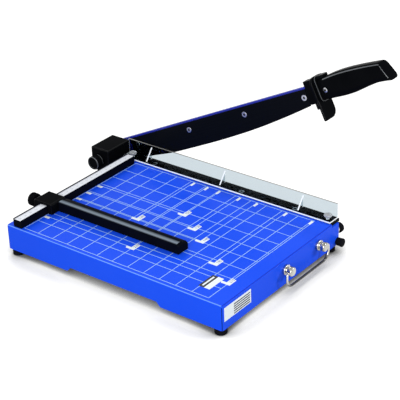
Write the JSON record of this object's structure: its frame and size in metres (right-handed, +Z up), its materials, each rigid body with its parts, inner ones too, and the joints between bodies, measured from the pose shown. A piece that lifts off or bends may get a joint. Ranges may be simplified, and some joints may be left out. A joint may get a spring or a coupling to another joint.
{
  "type": "paper cutter",
  "caption": "Guillotine paper cutter: steel table with fence, sliding gauge, clear safety guard, lever knife with hand guard and grip, and a wire carry handle.",
  "frame": {"origin": "middle of the cutter's box in plan, on the desk under the feet, with the arm raised", "axes": "+Z up, -Y towards the operator, +X towards the knife"},
  "size_m": [0.274, 0.451, 0.2716],
  "materials": {
    "blue_paint": "semi-gloss powder coat",
    "black_steel": "blackened steel",
    "black_metal": "satin black",
    "black_plastic": "moulded, satin",
    "rubber": "matt",
    "zinc": "zinc plated",
    "nickel": "nickel plated",
    "ruler_white": "printed strip",
    "clear_plastic": "clear acrylic"
  },
  "bodies": {
    "base": {"base_shell": "blue_paint", "foot_1": "rubber", "foot_2": "rubber", "foot_3": "rubber", "foot_4": "rubber", "foot_screw_1": "zinc", "foot_screw_2": "zinc", "foot_screw_3": "zinc", "foot_screw_4": "zinc", "lower_knife": "black_steel", "lower_knife_screw_1": "zinc", "lower_knife_screw_2": "zinc", "lower_knife_screw_3": "zinc", "lower_knife_nut_1": "zinc", "lower_knife_nut_2": "zinc", "lower_knife_nut_3": "zinc", "fence_rail": "black_metal", "fence_ruler": "ruler_white", "fence_screw_1": "zinc", "fence_screw_2": "zinc", "pivot_housing": "black_plastic", "housing_screw_1": "zinc", "housing_screw_2": "zinc", "safety_guard": "clear_plastic", "guard_spacer_front": "clear_plastic", "guard_spacer_back": "clear_plastic", "handle_post_left": "nickel", "handle_post_right": "nickel", "stop_stud": "nickel", "stop_ring": "rubber", "hook_buffer": "rubber"},
    "arm": {"arm_bar": "blue_paint", "upper_knife": "black_steel", "upper_knife_screw_1": "zinc", "upper_knife_screw_2": "zinc", "upper_knife_screw_3": "zinc", "upper_knife_screw_4": "zinc", "arm_collar": "black_plastic", "hand_guard": "black_plastic", "grip": "black_plastic", "grip_screw": "zinc", "pivot_shaft": "zinc", "pivot_washer": "zinc", "disc_springs": "zinc"},
    "tension_cap": {"pivot_cap": "black_plastic"},
    "gauge": {"gauge_block": "black_plastic", "gauge_bar": "black_metal"},
    "clamp": {"gauge_knob": "black_plastic", "gauge_screw": "zinc"},
    "bail": {"carry_bail": "nickel"},
    "thumb_front": {"thumb_screw_front": "clear_plastic"},
    "thumb_back": {"thumb_screw_back": "clear_plastic"}
  },
  "joints": [
    {"name": "arm_hinge", "type": "hinge", "parent": "base", "child": "arm", "pos_m": [0.1195, 0.20891, 0.05], "axis": [-1, 0, 0], "range_deg": [-25.2, 45]},
    {"name": "tension_cap_turn", "type": "hinge", "parent": "arm", "child": "tension_cap", "pos_m": [0.0595, 0.20891, 0.05], "axis": [-1, 0, 0], "range_deg": [-90, 180]},
    {"name": "gauge_slide", "type": "slide", "parent": "base", "child": "gauge", "axis": [1, 0, 0], "range_m": [-0.045, 0.11]},
    {"name": "clamp_turn", "type": "hinge", "parent": "gauge", "child": "clamp", "pos_m": [-0.072, 0.19071, 0.049], "axis": [0, 1, 0], "range_deg": [0, 360]},
    {"name": "bail_swing", "type": "hinge", "parent": "base", "child": "bail", "pos_m": [0.03025, -0.16539, 0.03], "axis": [-1, 0, 0], "range_deg": [-15, 165]},
    {"name": "thumb_front_turn", "type": "hinge", "parent": "base", "child": "thumb_front", "pos_m": [0.1065, -0.14509, 0.05], "axis": [0, 0, 1], "range_deg": [0, 360]},
    {"name": "thumb_back_turn", "type": "hinge", "parent": "base", "child": "thumb_back", "pos_m": [0.1065, 0.18191, 0.05], "axis": [0, 0, 1], "range_deg": [0, 360]}
  ]
}
